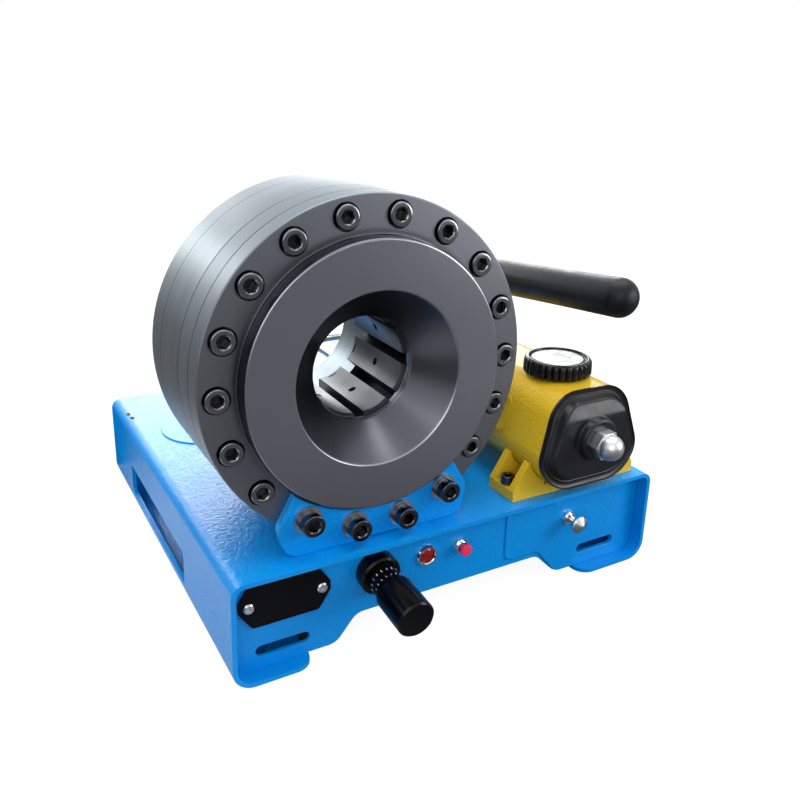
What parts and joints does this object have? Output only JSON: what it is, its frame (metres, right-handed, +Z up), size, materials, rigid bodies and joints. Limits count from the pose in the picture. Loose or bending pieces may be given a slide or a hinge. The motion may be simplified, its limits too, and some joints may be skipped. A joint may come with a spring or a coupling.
{
  "type": "hose crimping press",
  "caption": "Hand-pumped hydraulic press that crimps hose fittings between radial dies in a ring cylinder, on a folded sheet base with a stop gauge.",
  "frame": {"origin": "middle of the four bench bolt holes, on the underside of the base", "axes": "+Z up, -Y towards the operator (the cone mouth faces -Y), +X to the operator's right where the pump stands"},
  "size_m": [0.427, 0.4801, 0.3655],
  "materials": {
    "blue_paint": "glossy blue powder coat with a fine orange-peel texture",
    "yellow_paint": "glossy yellow enamel",
    "black_steel": "turned steel, black oxide, oiled",
    "screw_black": "black oxide alloy screws",
    "zinc_steel": "zinc plated or ground steel",
    "tool_steel": "ground tool steel",
    "bright_steel": "polished hardened steel",
    "chrome": "bright chrome plate",
    "black_anodised": "gloss black anodised aluminium",
    "black_enamel": "black enamel on steel",
    "black_plastic": "moulded black plastic",
    "red_lens": "dark red lens",
    "red_plastic": "red plastic",
    "rubber": "moulded black rubber",
    "grip_foam": "dense dark foam"
  },
  "bodies": {
    "press": {"base_channel": "blue_paint", "front_panel": "blue_paint", "service_panel": "blue_paint", "cradle_plate": "blue_paint", "cover_disc": "blue_paint", "battery_cover": "black_plastic", "battery_cover_screws": "zinc_steel", "battery_box": "black_plastic", "lamp_bezel": "chrome", "lamp_lens": "red_lens", "button_bush": "chrome", "latch_base": "chrome", "gauge_collar": "black_anodised", "gauge_barrel": "black_anodised", "contact_block": "black_plastic", "front_cover": "black_steel", "cylinder": "black_steel", "cover_screws": "screw_black", "cradle_screws": "screw_black", "cradle_washers": "zinc_steel", "reservoir": "yellow_paint", "end_cap": "rubber", "tie_rod": "zinc_steel", "cap_nut": "chrome", "pump_feet": "yellow_paint", "foot_screws": "screw_black", "pump_block": "yellow_paint", "fulcrum_pin": "zinc_steel", "oil_pipe": "zinc_steel", "pipe_nuts": "zinc_steel"},
    "piston": {"piston": "tool_steel", "piston_seals": "rubber"},
    "jaw_1": {"jaw_1": "tool_steel", "die_1": "bright_steel"},
    "jaw_2": {"jaw_2": "tool_steel", "die_2": "bright_steel"},
    "jaw_3": {"jaw_3": "tool_steel", "die_3": "bright_steel"},
    "jaw_4": {"jaw_4": "tool_steel", "die_4": "bright_steel"},
    "jaw_5": {"jaw_5": "tool_steel", "die_5": "bright_steel"},
    "jaw_6": {"jaw_6": "tool_steel", "die_6": "bright_steel"},
    "jaw_7": {"jaw_7": "tool_steel", "die_7": "bright_steel"},
    "jaw_8": {"jaw_8": "tool_steel", "die_8": "bright_steel"},
    "lever": {"lever": "black_enamel", "lever_grip": "grip_foam"},
    "plunger": {"plunger": "zinc_steel"},
    "gauge_spindle": {"gauge_spindle": "zinc_steel"},
    "gauge_sleeve": {"gauge_sleeve": "black_anodised"},
    "filler_cap": {"filler_cap": "black_plastic"},
    "release_knob": {"release_knob": "black_plastic"},
    "latch_knob": {"latch_knob": "chrome"},
    "button_cap": {"button_cap": "red_plastic"}
  },
  "joints": [
    {"name": "piston_slide", "type": "slide", "parent": "press", "child": "piston", "axis": [0, -1, 0], "range_m": [0, 0.03833], "stiffness_N_per_m": 2000},
    {"name": "jaw_1_slide", "type": "slide", "parent": "press", "child": "jaw_1", "axis": [-0.9239, 0, 0.3827], "range_m": [0, 0.0115]},
    {"name": "jaw_2_slide", "type": "slide", "parent": "press", "child": "jaw_2", "axis": [-0.3827, 0, 0.9239], "range_m": [0, 0.0115]},
    {"name": "jaw_3_slide", "type": "slide", "parent": "press", "child": "jaw_3", "axis": [0.3827, 0, 0.9239], "range_m": [0, 0.0115]},
    {"name": "jaw_4_slide", "type": "slide", "parent": "press", "child": "jaw_4", "axis": [0.9239, 0, 0.3827], "range_m": [0, 0.0115]},
    {"name": "jaw_5_slide", "type": "slide", "parent": "press", "child": "jaw_5", "axis": [0.9239, 0, -0.3827], "range_m": [0, 0.0115]},
    {"name": "jaw_6_slide", "type": "slide", "parent": "press", "child": "jaw_6", "axis": [0.3827, 0, -0.9239], "range_m": [0, 0.0115]},
    {"name": "jaw_7_slide", "type": "slide", "parent": "press", "child": "jaw_7", "axis": [-0.3827, 0, -0.9239], "range_m": [0, 0.0115]},
    {"name": "jaw_8_slide", "type": "slide", "parent": "press", "child": "jaw_8", "axis": [-0.9239, 0, -0.3827], "range_m": [0, 0.0115]},
    {"name": "lever_swing", "type": "hinge", "parent": "press", "child": "lever", "pos_m": [0.12, 0.126, 0.245], "axis": [-1, 0, 0], "range_deg": [0, 45]},
    {"name": "plunger_slide", "type": "slide", "parent": "press", "child": "plunger", "axis": [0, 0, 1], "range_m": [0, 0.0363]},
    {"name": "spindle_slide", "type": "slide", "parent": "press", "child": "gauge_spindle", "axis": [0, -0.9956, -0.0941], "range_m": [-0.00499, 0.00499]},
    {"name": "gauge_turn", "type": "hinge", "parent": "gauge_spindle", "child": "gauge_sleeve", "pos_m": [-0.086, -0.197, 0.065], "axis": [0, -0.9956, -0.0941], "range_deg": [-1800, 1800]},
    {"name": "filler_turn", "type": "hinge", "parent": "press", "child": "filler_cap", "pos_m": [0.12, -0.16, 0.2], "axis": [0, 0, 1], "range_deg": [0, 540]},
    {"name": "release_turn", "type": "hinge", "parent": "press", "child": "release_knob", "pos_m": [0.156, 0.096, 0.1705], "axis": [1, 0, 0], "range_deg": [0, 270]},
    {"name": "latch_turn", "type": "hinge", "parent": "press", "child": "latch_knob", "pos_m": [0.1175, -0.197, 0.062], "axis": [0, -1, 0], "range_deg": [0, 90]},
    {"name": "button_press", "type": "slide", "parent": "press", "child": "button_cap", "axis": [0, 1, 0], "range_m": [0, 0.003], "stiffness_N_per_m": 400}
  ],
  "couplings": [
    {"joint": "jaw_1_slide", "follows": "piston_slide", "ratio": 0.3},
    {"joint": "jaw_2_slide", "follows": "piston_slide", "ratio": 0.3},
    {"joint": "jaw_3_slide", "follows": "piston_slide", "ratio": 0.3},
    {"joint": "jaw_4_slide", "follows": "piston_slide", "ratio": 0.3},
    {"joint": "jaw_5_slide", "follows": "piston_slide", "ratio": 0.3},
    {"joint": "jaw_6_slide", "follows": "piston_slide", "ratio": 0.3},
    {"joint": "jaw_7_slide", "follows": "piston_slide", "ratio": 0.3},
    {"joint": "jaw_8_slide", "follows": "piston_slide", "ratio": 0.3},
    {"joint": "plunger_slide", "follows": "lever_swing", "m_per_rad": 0.046},
    {"joint": "gauge_turn", "follows": "spindle_slide", "rad_per_m": 6283.2}
  ]
}
